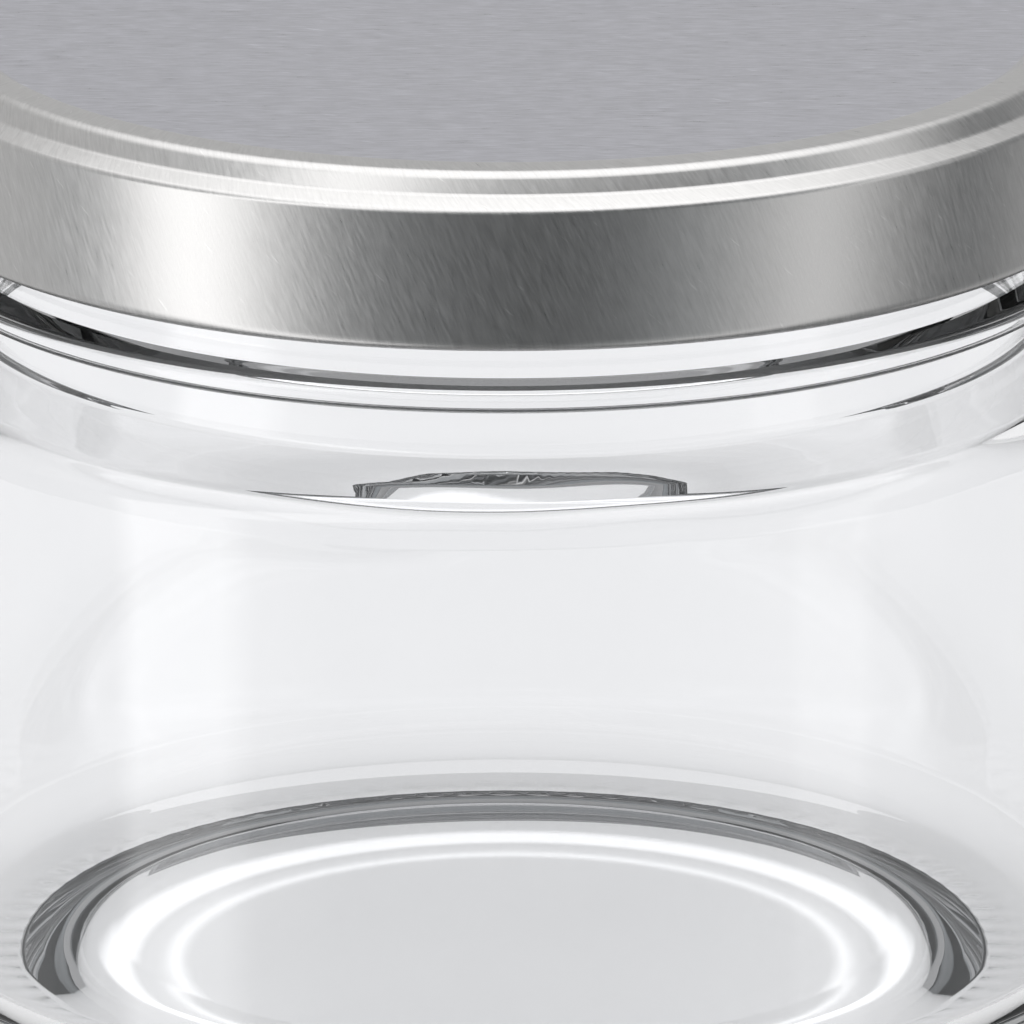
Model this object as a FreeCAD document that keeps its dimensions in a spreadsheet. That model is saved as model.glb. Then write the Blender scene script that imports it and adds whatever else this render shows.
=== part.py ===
"""Round glass food jar, closed with a four-lug twist-off metal lid. Sizes in millimetres.

Frame: +Z up, origin at the middle of the ring that the jar stands on.
Pieces: jar (one piece of blown glass), lid (one piece of drawn tinplate) and seal_ring
(the ring of sealing compound in the lid's channel, which rests on the rim of the glass).
"""

import FreeCAD, Part
import math
import os
import Sketcher

OUT_FOLDER = "parts"

# The driving sizes: alias, value, what it is. The finish is the top of the glass, under the lid.
SIZES = [
    ("jar_height", 56.4, "glass, from the standing ring to the rim"),
    ("finish_radius", 31.6, "outside of the finish, which sets the size of the closure"),
    ("finish_wall", 2.25, "glass thickness of the finish"),
    ("mouth_round", 1.0, "inside round of the rim"),
    ("rim_round", 0.7, "outside round of the rim"),
    ("bead_depth", 10.87, "rim down to the top of the bead under the lid"),
    ("bead_height", 1.94, "height of the bead"),
    ("bead_reach", 1.68, "how far the bead stands out from the finish"),
    ("bead_slope", 0.35, "height of the sloping sides of the bead"),
    ("bead_round", 0.6, "rounds of the bead"),
    ("neck_height", 2.81, "bead down to the shoulder"),
    ("neck_inset", 1.1, "how far the neck under the bead lies in from the finish"),
    ("neck_round", 0.45, "hollow round between neck and shoulder"),
    ("shoulder_reach", 4.2, "how far the body stands out from the finish"),
    ("shoulder_fall", 2.0, "how much the shoulder drops on its way to the body"),
    ("shoulder_round", 1.65, "outside round between shoulder and body"),
    ("inner_shoulder_fall", 3.5, "height of the inside slope behind the shoulder"),
    ("inner_shoulder_round", 1.0, "round at the top of that slope"),
    ("inner_foot_round", 2.1, "round at the foot of that slope"),
    ("body_wall", 2.65, "glass thickness of the body"),
    ("heel_round", 6.4, "outside round between body and standing ring"),
    ("standing_width", 2.2, "width of the flat ring that the jar stands on"),
    ("standing_round", 0.8, "round between the standing ring and the hollow base"),
    ("hollow_rise", 2.4, "height of the hollow under the base"),
    ("hollow_run", 3.0, "width of the slope that leads up into the hollow"),
    ("hollow_round", 3.0, "round at the top of that slope"),
    ("base_thickness", 2.2, "glass over the middle of the hollow"),
    ("floor_radius", 22.0, "flat middle of the inside floor"),
    ("floor_fall", 0.4, "how much lower the inside floor lies at the wall"),
    ("floor_round", 9.0, "round at the edge of the flat middle"),
    ("corner_round", 2.7, "inside round between floor and wall"),
    ("tinplate", 0.22, "sheet thickness of the lid"),
    ("bead_clearance", 2.19, "room between the bead and the bottom of the lid"),
    ("skirt_room", 2.9, "how far the outside of the skirt stands off the finish, over the thread"),
    ("panel_gap", 0.2, "room between the rim and the lid's flat middle panel"),
    ("panel_step", 1.0, "width of the step from panel to crest"),
    ("panel_round", 0.7, "rounds at both ends of that step"),
    ("crest_inset", 1.0, "how far the inside of the crest lies in from the finish"),
    ("crest_width", 2.1, "width of the crest, to the corners of its rounds"),
    ("crest_round", 0.7, "outside round of the crest"),
    ("crest_wall", 0.6, "width of the steep wall outside the crest"),
    ("crest_drop", 1.2, "height of that wall"),
    ("ledge_fall", 0.5, "how much the ledge drops on its way to the skirt"),
    ("ledge_round", 0.4, "rounds at both ends of the ledge"),
    ("curl_radius", 0.8, "outside radius of the rolled edge"),
    ("curl_opening", 75.0, "degrees that the rolled edge stays short of a full turn"),
    ("lug_clearance", 0.3, "room between the tip of a lug and the finish"),
    ("lug_thickness", 0.7, "height of a lug"),
    ("lug_round", 0.3, "rounds at the tip of a lug"),
    ("lug_angle", 16.0, "how much of the circle a lug takes, in degrees"),
    ("lug_count", 4, "lugs round the lid"),
    ("seal_thickness", 0.9, "room for the sealing compound between rim and crest"),
    ("seal_clearance", 0.05, "free play of the compound against rim and lid"),
    ("seal_overlap", 1.6, "how far the compound reaches in from the outside of the finish"),
    ("seal_round", 0.4, "outside top round of the compound"),
]

# Places that more than one line of an outline uses, as expressions on the driving sizes.
MOUTH_RADIUS = "Sizes.finish_radius - Sizes.finish_wall"
NECK_RADIUS = "Sizes.finish_radius - Sizes.neck_inset"
BEAD_RADIUS = "Sizes.finish_radius + Sizes.bead_reach"
BODY_RADIUS = "Sizes.finish_radius + Sizes.shoulder_reach"
INSIDE_RADIUS = BODY_RADIUS + " - Sizes.body_wall"
STANDING_INNER = BODY_RADIUS + " - Sizes.heel_round - Sizes.standing_width"
BEAD_TOP = "Sizes.jar_height - Sizes.bead_depth"
BEAD_BOTTOM = BEAD_TOP + " - Sizes.bead_height"
SHOULDER_TOP = BEAD_BOTTOM + " - Sizes.neck_height"
SHOULDER_EDGE = SHOULDER_TOP + " - Sizes.shoulder_fall"
FLOOR_HEIGHT = "Sizes.hollow_rise + Sizes.base_thickness"
UNDER_CREST = "Sizes.jar_height + Sizes.seal_thickness"
CREST_HEIGHT = UNDER_CREST + " + Sizes.tinplate"
PANEL_HEIGHT = "Sizes.jar_height + Sizes.panel_gap + Sizes.tinplate"
CREST_INNER = "Sizes.finish_radius - Sizes.crest_inset"
CREST_OUTER = CREST_INNER + " + Sizes.crest_width"
LEDGE_INNER = CREST_OUTER + " + Sizes.crest_wall"
LEDGE_HEIGHT = CREST_HEIGHT + " - Sizes.crest_drop"
LID_RADIUS = "Sizes.finish_radius + Sizes.skirt_room"
CURL_MIDDLE = LID_RADIUS + " - Sizes.curl_radius"
CURL_HEIGHT = BEAD_TOP + " + Sizes.bead_clearance + Sizes.curl_radius"
LUG_TIP = "Sizes.finish_radius + Sizes.lug_clearance"
SEAL_BOTTOM = "Sizes.jar_height + Sizes.seal_clearance"
SEAL_TOP = UNDER_CREST + " - Sizes.seal_clearance"
SEAL_INNER = "Sizes.finish_radius - Sizes.seal_overlap"
SEAL_SHOULDER = CREST_INNER + " + Sizes.tinplate"
SEAL_OUTER = CREST_OUTER + " - Sizes.tinplate - Sizes.seal_clearance"
STEP_GRADIENT = "(Sizes.seal_thickness - Sizes.panel_gap) / Sizes.panel_step"
SEAL_EDGE = f"{SEAL_TOP} - ({SEAL_SHOULDER} - ({SEAL_INNER})) * {STEP_GRADIENT}"

ZERO = "0"
SHARP = "0"

# Sketcher's numbers for its own axes and for the ends of a line or an arc.
RADIUS_AXIS = -1
TURNING_AXIS = -2
START, END, CENTRE = 1, 2, 3

doc = FreeCAD.newDocument("twist_off_jar")
sheet = doc.addObject("Spreadsheet::Sheet", "Sizes")


def fill_sheet():
    for row, (alias, value, meaning) in enumerate(SIZES, start=1):
        sheet.set(f"A{row}", alias)
        sheet.set(f"B{row}", str(value))
        sheet.set(f"C{row}", meaning)
        sheet.setAlias(f"B{row}", alias)
    doc.recompute()


def number(expression):
    """What an expression on the sheet comes to, as a plain number."""
    return float(sheet.evalExpression(expression))


def new_body(name):
    body = doc.addObject("PartDesign::Body", name)
    body.Label = name
    body.Placement = FreeCAD.Placement()
    return body


def section_sketch(body, name):
    """A sketch in the body's upright plane: its X is the radius and its Y is the height."""
    sketch = body.newObject("Sketcher::SketchObject", name)
    plane = next(feature for feature in body.Origin.OriginFeatures if feature.Role == "XZ_Plane")
    sketch.AttachmentSupport = [(plane, "")]
    sketch.MapMode = "FlatFace"
    return sketch


def revolve(body, sketch, name):
    """Turns a section about the jar's axis, all the way round."""
    feature = body.newObject("PartDesign::Revolution", name)
    feature.Profile = sketch
    feature.ReferenceAxis = (sketch, ["V_Axis"])
    feature.Angle = 360.0
    sketch.Visibility = False
    return feature


def bind(sketch, name, constraint, expression):
    """Adds a dimension to the sketch and ties it to the sheet."""
    index = sketch.addConstraint(constraint)
    sketch.renameConstraint(index, name)
    sketch.setExpression(f"Constraints.{name}", expression)


def tie_point(sketch, point, name, radius, height):
    """Holds one point of the sketch, given as geometry and end, at a radius and a height."""
    if radius == ZERO:
        sketch.addConstraint(Sketcher.Constraint("PointOnObject", *point, TURNING_AXIS))
    else:
        across = Sketcher.Constraint("DistanceX", RADIUS_AXIS, START, *point, number(radius))
        bind(sketch, f"{name}_radius", across, radius)
    if height == ZERO:
        sketch.addConstraint(Sketcher.Constraint("PointOnObject", *point, RADIUS_AXIS))
    else:
        up = Sketcher.Constraint("DistanceY", RADIUS_AXIS, START, *point, number(height))
        bind(sketch, f"{name}_height", up, height)


def turn_at(before, corner, after):
    """Positive where a path turns left at the corner, negative where it turns right."""
    return (corner - before).cross(after - corner).z


def round_between(before, corner, after, size):
    """The round that touches both lines at the corner: its two ends and its centre."""
    back = (before - corner).normalize()
    ahead = (after - corner).normalize()
    half_angle = back.getAngle(ahead) / 2
    reach = size / math.tan(half_angle)
    centre = corner + (back + ahead).normalize() * (size / math.sin(half_angle))
    return corner + back * reach, corner + ahead * reach, centre


def add_arc(sketch, centre, size, from_angle, to_angle):
    """An arc in the sketch, drawn leftward from one angle to the other."""
    if to_angle < from_angle:
        to_angle += 2 * math.pi
    circle = Part.Circle(centre, FreeCAD.Vector(0, 0, 1), size)
    return sketch.addGeometry(Part.ArcOfCircle(circle, from_angle, to_angle))


def angle_from(centre, place):
    return math.atan2(place.y - centre.y, place.x - centre.x)


def trace_path(sketch, places, sizes, closed):
    """Draws lines through the places, with a touching arc wherever a size isn't zero.

    Gives the lines, the arc at each rounded corner, and for each corner the point that marks it.
    """
    count = len(places)
    cuts = [(place, place, place) for place in places]
    corners = range(count) if closed else range(1, count - 1)
    for index in corners:
        if sizes[index]:
            neighbours = places[index - 1], places[index], places[(index + 1) % count]
            cuts[index] = round_between(*neighbours, sizes[index])
    lines = []
    for index in range(count if closed else count - 1):
        line = Part.LineSegment(cuts[index][1], cuts[(index + 1) % count][0])
        lines.append(sketch.addGeometry(line))
    arcs = {}
    points = {0: (lines[0], START), count - 1: (lines[-1], END)}
    for index in corners:
        incoming, outgoing = lines[index - 1], lines[index]
        if not sizes[index]:
            sketch.addConstraint(Sketcher.Constraint("Coincident", incoming, END, outgoing, START))
            points[index] = (outgoing, START)
            continue
        arrival, departure, centre = cuts[index]
        angles = [angle_from(centre, arrival), angle_from(centre, departure)]
        ends = [START, END]
        if turn_at(places[index - 1], places[index], places[(index + 1) % count]) < 0:
            angles.reverse()
            ends.reverse()
        arc = add_arc(sketch, centre, sizes[index], *angles)
        sketch.addConstraint(Sketcher.Constraint("Tangent", incoming, END, arc, ends[0]))
        sketch.addConstraint(Sketcher.Constraint("Tangent", arc, ends[1], outgoing, START))
        marker = sketch.addGeometry(Part.Point(places[index]), True)
        sketch.addConstraint(Sketcher.Constraint("PointOnObject", marker, START, incoming))
        sketch.addConstraint(Sketcher.Constraint("PointOnObject", marker, START, outgoing))
        arcs[index] = arc
        points[index] = (marker, START)
    return lines, arcs, points


def tie_path(sketch, corners, sizes, arcs, points):
    for index, (name, radius, height, rounding) in enumerate(corners):
        tie_point(sketch, points[index], name, radius, height)
        if index in arcs:
            size = Sketcher.Constraint("Radius", arcs[index], sizes[index])
            bind(sketch, f"{name}_round", size, rounding)


def places_and_sizes(corners):
    """A corner is a name, then its radius, height and round, each an expression."""
    places = [FreeCAD.Vector(number(radius), number(height), 0) for _, radius, height, _ in corners]
    return places, [number(rounding) for _, _, _, rounding in corners]


def draw_outline(sketch, corners):
    """A closed outline through the corners, tied to the sheet."""
    places, sizes = places_and_sizes(corners)
    _, arcs, points = trace_path(sketch, places, sizes, closed=True)
    tie_path(sketch, corners, sizes, arcs, points)


def offset_places(places, thickness):
    """The corners of the same path, moved to its right by the thickness."""
    directions = [(after - before).normalize() for before, after in zip(places, places[1:])]
    rights = [FreeCAD.Vector(way.y, -way.x, 0) for way in directions]
    moved = [places[0] + rights[0] * thickness]
    for place, before, after in zip(places[1:-1], rights, rights[1:]):
        spread = before + after
        moved.append(place + spread * (2 * thickness / spread.dot(spread)))
    moved.append(places[-1] + rights[-1] * thickness)
    return moved


def draw_sheet_metal(sketch, corners, thickness):
    """The section of a bent sheet: its outside runs through the corners, from the axis outward.

    Its inside is parallel to that at the sheet's thickness, with rounds about the same centres.
    """
    outer_places, outer_sizes = places_and_sizes(corners)
    outer_lines, arcs, points = trace_path(sketch, outer_places, outer_sizes, closed=False)
    tie_path(sketch, corners, outer_sizes, arcs, points)

    gauge = number(thickness)
    signs = {}
    inner_sizes = [0.0] * len(corners)
    for index in arcs:
        left = turn_at(*outer_places[index - 1 : index + 2]) > 0
        signs[index] = "+" if left else "-"
        inner_sizes[index] = outer_sizes[index] + (gauge if left else -gauge)
    inner_places = offset_places(outer_places, gauge)
    inner_lines, inner_arcs, _ = trace_path(sketch, inner_places, inner_sizes, closed=False)
    for index, (outer, inner) in enumerate(zip(outer_lines, inner_lines)):
        sketch.addConstraint(Sketcher.Constraint("Parallel", outer, inner))
        apart = Sketcher.Constraint("Distance", inner, START, outer, gauge)
        bind(sketch, f"sheet_{index}", apart, thickness)
    for index, arc in inner_arcs.items():
        name, _, _, rounding = corners[index]
        size = Sketcher.Constraint("Radius", arc, inner_sizes[index])
        bind(sketch, f"{name}_inner_round", size, f"{rounding} {signs[index]} {thickness}")

    ends = ((START, outer_lines[0], inner_lines[0]), (END, outer_lines[-1], inner_lines[-1]))
    for end, outer, inner in ends:
        index = 0 if end == START else -1
        cap = sketch.addGeometry(Part.LineSegment(outer_places[index], inner_places[index]))
        sketch.addConstraint(Sketcher.Constraint("Coincident", cap, START, outer, end))
        sketch.addConstraint(Sketcher.Constraint("Coincident", cap, END, inner, end))
        sketch.addConstraint(Sketcher.Constraint("Perpendicular", cap, outer))


def make_jar():
    """One turned section: base with its hollow, heel, body, shoulder, neck, bead and finish."""
    body = new_body("jar")
    section = section_sketch(body, "GlassSection")
    draw_outline(section, [
        ("hollow_middle", ZERO, "Sizes.hollow_rise", SHARP),
        ("hollow_edge", f"{STANDING_INNER} - Sizes.hollow_run", "Sizes.hollow_rise", "Sizes.hollow_round"),
        ("standing_edge", STANDING_INNER, ZERO, "Sizes.standing_round"),
        ("heel", BODY_RADIUS, ZERO, "Sizes.heel_round"),
        ("shoulder_edge", BODY_RADIUS, SHOULDER_EDGE, "Sizes.shoulder_round"),
        ("shoulder_top", NECK_RADIUS, SHOULDER_TOP, "Sizes.neck_round"),
        ("bead_foot", NECK_RADIUS, BEAD_BOTTOM, SHARP),
        ("bead_low", BEAD_RADIUS, f"{BEAD_BOTTOM} + Sizes.bead_slope", "Sizes.bead_round"),
        ("bead_high", BEAD_RADIUS, f"{BEAD_TOP} - Sizes.bead_slope", "Sizes.bead_round"),
        ("bead_top", "Sizes.finish_radius", BEAD_TOP, SHARP),
        ("rim", "Sizes.finish_radius", "Sizes.jar_height", "Sizes.rim_round"),
        ("mouth", MOUTH_RADIUS, "Sizes.jar_height", "Sizes.mouth_round"),
        ("inner_shoulder_top", MOUTH_RADIUS, SHOULDER_TOP, "Sizes.inner_shoulder_round"),
        ("inner_shoulder_edge", INSIDE_RADIUS, f"{SHOULDER_TOP} - Sizes.inner_shoulder_fall",
         "Sizes.inner_foot_round"),
        ("inside_corner", INSIDE_RADIUS, f"{FLOOR_HEIGHT} - Sizes.floor_fall", "Sizes.corner_round"),
        ("floor_edge", "Sizes.floor_radius", FLOOR_HEIGHT, "Sizes.floor_round"),
        ("floor_middle", ZERO, FLOOR_HEIGHT, SHARP),
    ])
    body.Tip = revolve(body, section, "Glass")
    return body


def draw_curl(sketch):
    """The section of the rolled edge: a ring of sheet round its middle, open at the top."""
    middle = FreeCAD.Vector(number(CURL_MIDDLE), number(CURL_HEIGHT), 0)
    opening = math.radians(number("Sizes.curl_opening"))
    rings = []
    for name, size in (("outer", "Sizes.curl_radius"), ("inner", "Sizes.curl_radius - Sizes.tinplate")):
        ring = add_arc(sketch, middle, number(size), opening, 2 * math.pi)
        bind(sketch, f"{name}_curl", Sketcher.Constraint("Radius", ring, number(size)), size)
        sketch.addConstraint(Sketcher.Constraint("Horizontal", ring, CENTRE, ring, END))
        rings.append(ring)
    outer, inner = rings
    tie_point(sketch, (outer, CENTRE), "curl_middle", CURL_MIDDLE, CURL_HEIGHT)
    sketch.addConstraint(Sketcher.Constraint("Coincident", inner, CENTRE, outer, CENTRE))
    caps = []
    for end in (START, END):
        cap = sketch.addGeometry(Part.LineSegment(sketch.getPoint(inner, end), sketch.getPoint(outer, end)))
        sketch.addConstraint(Sketcher.Constraint("Coincident", cap, START, inner, end))
        sketch.addConstraint(Sketcher.Constraint("Coincident", cap, END, outer, end))
        caps.append(cap)
    sketch.addConstraint(Sketcher.Constraint("PointOnObject", outer, CENTRE, caps[0]))
    bind(sketch, "opening", Sketcher.Constraint("Angle", caps[0], opening), "Sizes.curl_opening * 1 deg")


def make_lid():
    """Tinplate: flat panel, raised crest with the seal's channel, ledge, skirt, curl and lugs."""
    body = new_body("lid")
    section = section_sketch(body, "SheetSection")
    draw_sheet_metal(section, [
        ("panel_middle", ZERO, PANEL_HEIGHT, SHARP),
        ("panel_edge", f"{CREST_INNER} - Sizes.panel_step", PANEL_HEIGHT, "Sizes.panel_round"),
        ("crest_inner", CREST_INNER, CREST_HEIGHT, "Sizes.panel_round"),
        ("crest_outer", CREST_OUTER, CREST_HEIGHT, "Sizes.crest_round"),
        ("ledge_inner", LEDGE_INNER, LEDGE_HEIGHT, "Sizes.ledge_round"),
        ("ledge_outer", LID_RADIUS, f"{LEDGE_HEIGHT} - Sizes.ledge_fall", "Sizes.ledge_round"),
        ("skirt_end", LID_RADIUS, CURL_HEIGHT, SHARP),
    ], "Sizes.tinplate")
    revolve(body, section, "Sheet")

    curl_section = section_sketch(body, "CurlSection")
    draw_curl(curl_section)
    revolve(body, curl_section, "Curl")

    lug_section = section_sketch(body, "LugSection")
    draw_outline(lug_section, [
        ("tip_low", LUG_TIP, f"{CURL_HEIGHT} - Sizes.lug_thickness", "Sizes.lug_round"),
        ("root_low", CURL_MIDDLE, f"{CURL_HEIGHT} - Sizes.lug_thickness", SHARP),
        ("root_high", CURL_MIDDLE, CURL_HEIGHT, SHARP),
        ("tip_high", LUG_TIP, CURL_HEIGHT, "Sizes.lug_round"),
    ])
    lug = revolve(body, lug_section, "Lug")
    lug.setExpression("Angle", "Sizes.lug_angle")
    lug.Midplane = True

    doc.recompute()
    lugs = body.newObject("PartDesign::PolarPattern", "Lugs")
    lugs.Originals = [lug]
    lugs.Axis = (lug_section, ["V_Axis"])
    lugs.Angle = 360.0
    lugs.setExpression("Occurrences", "Sizes.lug_count")
    body.Tip = lugs
    return body


def make_seal_ring():
    """Sealing compound, which fills the channel over the rim and thins out under the step."""
    body = new_body("seal_ring")
    section = section_sketch(body, "SealSection")
    draw_outline(section, [
        ("seal_inner", SEAL_INNER, SEAL_BOTTOM, SHARP),
        ("seal_outer", SEAL_OUTER, SEAL_BOTTOM, SHARP),
        ("seal_top", SEAL_OUTER, SEAL_TOP, "Sizes.seal_round"),
        ("seal_shoulder", SEAL_SHOULDER, SEAL_TOP, SHARP),
        ("seal_edge", SEAL_INNER, SEAL_EDGE, SHARP),
    ])
    body.Tip = revolve(body, section, "Seal")
    return body


def check_document(bodies):
    """Stops if anything in the document failed, or if a piece isn't one valid solid."""
    for item in doc.Objects:
        faults = {"Invalid", "Error"}.intersection(item.State)
        if faults:
            raise RuntimeError(f"{item.Name}: {item.State}")
        if item.TypeId == "Sketcher::SketchObject" and item.solve() != 0:
            raise RuntimeError(f"{item.Name}: the sketch does not solve")
    for body in bodies:
        shape = body.Shape
        if shape.isNull() or not shape.isValid() or len(shape.Solids) != 1:
            raise RuntimeError(f"{body.Label}: not one valid solid")


def write_parts(bodies):
    os.makedirs(OUT_FOLDER, exist_ok=True)
    for body in bodies:
        body.Shape.exportStep(f"{OUT_FOLDER}/{body.Label}.step")
        size = body.Shape.BoundBox
        volume = body.Shape.Volume / 1000
        extent = f"{size.XLength:.2f} x {size.YLength:.2f} x {size.ZLength:.2f} mm"
        print(f"{body.Label}: {extent}, {volume:.2f} cm3")


fill_sheet()
pieces = [make_jar(), make_lid(), make_seal_ring()]
doc.recompute()
check_document(pieces)
write_parts(pieces)
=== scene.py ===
"""Looks of a round glass food jar with a closed twist-off metal lid.

Every length is in metres, in the frame of the solid model: +Z up, the origin in the middle
of the ring that the jar stands on. Each turned piece starts as a bent wire, its section, which
gets its rounds by bevelling and is then spun about the jar's axis.
"""

import math

import bmesh
import bpy
from bpy.props import FloatProperty, FloatVectorProperty, IntProperty, PointerProperty
from mathutils import Matrix, Vector, noise


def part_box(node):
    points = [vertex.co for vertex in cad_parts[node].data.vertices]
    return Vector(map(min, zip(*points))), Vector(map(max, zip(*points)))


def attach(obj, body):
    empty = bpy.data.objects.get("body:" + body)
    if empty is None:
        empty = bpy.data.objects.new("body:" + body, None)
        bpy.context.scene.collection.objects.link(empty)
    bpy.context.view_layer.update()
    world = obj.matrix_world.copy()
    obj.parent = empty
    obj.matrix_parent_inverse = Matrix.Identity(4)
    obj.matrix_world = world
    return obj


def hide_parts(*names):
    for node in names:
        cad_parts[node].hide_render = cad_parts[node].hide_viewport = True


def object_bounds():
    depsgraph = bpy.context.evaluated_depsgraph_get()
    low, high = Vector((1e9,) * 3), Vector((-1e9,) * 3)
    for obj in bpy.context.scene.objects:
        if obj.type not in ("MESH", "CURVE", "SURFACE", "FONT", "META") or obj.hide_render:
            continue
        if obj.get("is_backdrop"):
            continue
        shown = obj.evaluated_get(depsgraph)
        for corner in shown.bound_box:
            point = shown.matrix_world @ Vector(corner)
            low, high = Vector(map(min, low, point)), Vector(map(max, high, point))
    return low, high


bl_info = {
    "name": "Twist-off food jar",
    "version": (1, 0, 0),
    "blender": (4, 5, 0),
    "location": "View3D > Sidebar > Jar",
    "description": "Models a glass food jar with its metal twist-off lid, and a small studio round it",
    "category": "Object",
}

MM = 0.001
TURN = 2 * math.pi
# Vertices this near a place count as on it, and vertices this near each other are one.
TOUCH = 0.01 * MM
MERGE = 0.002 * MM
GLASS_IOR = 1.52
# Nearly all of a noise lies between these.
NOISE_LOW, NOISE_HIGH = 0.3, 0.7
# Facets of the rolled edge, of a lug and of the compound.
CURL_STEPS, LUG_STEPS, SEAL_STEPS = 28, 14, 192

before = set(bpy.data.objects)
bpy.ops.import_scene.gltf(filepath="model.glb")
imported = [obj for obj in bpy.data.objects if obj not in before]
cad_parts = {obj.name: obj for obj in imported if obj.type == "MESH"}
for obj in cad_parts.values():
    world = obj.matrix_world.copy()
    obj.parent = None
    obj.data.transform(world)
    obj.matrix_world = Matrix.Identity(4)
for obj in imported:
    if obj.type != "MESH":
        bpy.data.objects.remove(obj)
SOLID_LOW, SOLID_HIGH = (Vector(corner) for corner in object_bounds())
BODY = "root"


def length(name, description, millimetres):
    """A length that a user may change, given here in millimetres."""
    return FloatProperty(
        name=name, description=description, default=millimetres * MM, unit="LENGTH", precision=4
    )


def share(name, description, default):
    """A plain number from 0 to 1."""
    return FloatProperty(name=name, description=description, default=default, min=0.0, max=1.0)


def colour(name, description, default):
    """A colour that a user may change; a light's tone may pass 1."""
    return FloatVectorProperty(
        name=name, description=description, default=default,
        size=4, min=0.0, max=2.0, subtype="COLOR",
    )


# ---------------------------------------------------------------- sizes and colours


class GlassSizes(bpy.types.PropertyGroup):
    """Sizes and tint of the glass."""

    finish_radius: length("Finish radius", "Outside of the glass under the lid", 31.6)
    finish_wall: length("Finish wall", "Glass thickness of the finish", 2.25)
    mouth_round: length("Mouth round", "Inside round of the rim", 1.0)
    rim_round: length("Rim round", "Outside round of the rim", 0.7)
    bead_depth: length("Bead depth", "Rim down to the top of the bead", 10.87)
    bead_height: length("Bead height", "Height of the bead", 1.94)
    bead_reach: length("Bead reach", "How far the bead stands out from the finish", 1.68)
    bead_slope: length("Bead slope", "Height of the sloping sides of the bead", 0.35)
    bead_round: length("Bead round", "Rounds of the bead", 0.6)
    neck_height: length("Neck height", "Bead down to the shoulder", 2.81)
    neck_inset: length("Neck inset", "How far the neck lies in from the finish", 1.1)
    neck_round: length("Neck round", "Hollow round between neck and shoulder", 0.45)
    shoulder_reach: length("Shoulder reach", "How far the body stands out from the finish", 4.2)
    shoulder_fall: length("Shoulder fall", "How much the shoulder drops to the body", 2.0)
    shoulder_round: length("Shoulder round", "Round between shoulder and body", 1.65)
    inner_shoulder_fall: length("Inner shoulder fall", "Height of the slope behind the shoulder", 3.5)
    inner_shoulder_round: length("Inner shoulder round", "Round at the top of that slope", 1.0)
    inner_foot_round: length("Inner foot round", "Round at the foot of that slope", 2.1)
    body_wall: length("Body wall", "Glass thickness of the body", 2.65)
    heel_round: length("Heel round", "Round between body and standing ring", 6.4)
    standing_width: length("Standing width", "Width of the ring that the jar stands on", 2.2)
    standing_round: length("Standing round", "Round inside the standing ring", 0.8)
    hollow_rise: length("Hollow rise", "Height of the hollow under the base", 2.4)
    hollow_run: length("Hollow run", "Width of the slope into the hollow", 3.0)
    hollow_round: length("Hollow round", "Round at the top of that slope", 3.0)
    base_thickness: length("Base thickness", "Glass over the middle of the hollow", 2.2)
    floor_radius: length("Floor radius", "Flat middle of the inside floor", 22.0)
    floor_fall: length("Floor fall", "How much lower the inside floor lies at the wall", 0.4)
    floor_round: length("Floor round", "Round at the edge of the flat middle", 9.0)
    corner_round: length("Corner round", "Inside round between floor and wall", 2.7)

    thread_reach: length("Thread reach", "How far the thread stands out from the finish", 1.1)
    thread_width: length("Thread width", "Height of the thread's section", 2.2)
    thread_depth: length("Thread depth", "Rim down to the high end of a thread", 3.4)
    thread_drop: length("Thread drop", "How much a thread runs down from end to end", 3.6)
    thread_starts: IntProperty(name="Thread starts", description="Threads round the finish", default=4)
    thread_sweep: FloatProperty(
        name="Thread sweep", description="Part of the circle that a thread takes",
        default=math.radians(105), subtype="ANGLE",
    )
    knurl_depth: length("Knurl depth", "Depth of the grip marks on the standing ring", 0.12)
    knurl_length: length("Knurl length", "Length of a grip mark along the radius", 1.5)
    knurl_count: IntProperty(
        name="Knurl count", description="Grip marks on the standing ring", default=80
    )
    shoulder_wave: length("Shoulder wave", "How much the glass ripples behind the shoulder", 0.16)
    wall_wave: length("Wall wave", "How much the inside of the wall wanders, as blown glass does", 0.05)

    steps: IntProperty(name="Steps", description="Facets round the glass", default=320, min=16)
    tint: colour("Glass tint", "Colour that the glass lends to light", (0.950, 0.953, 0.963, 1.0))
    roughness: share("Roughness", "Roughness of the fire-polished surface", 0.0)


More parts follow.
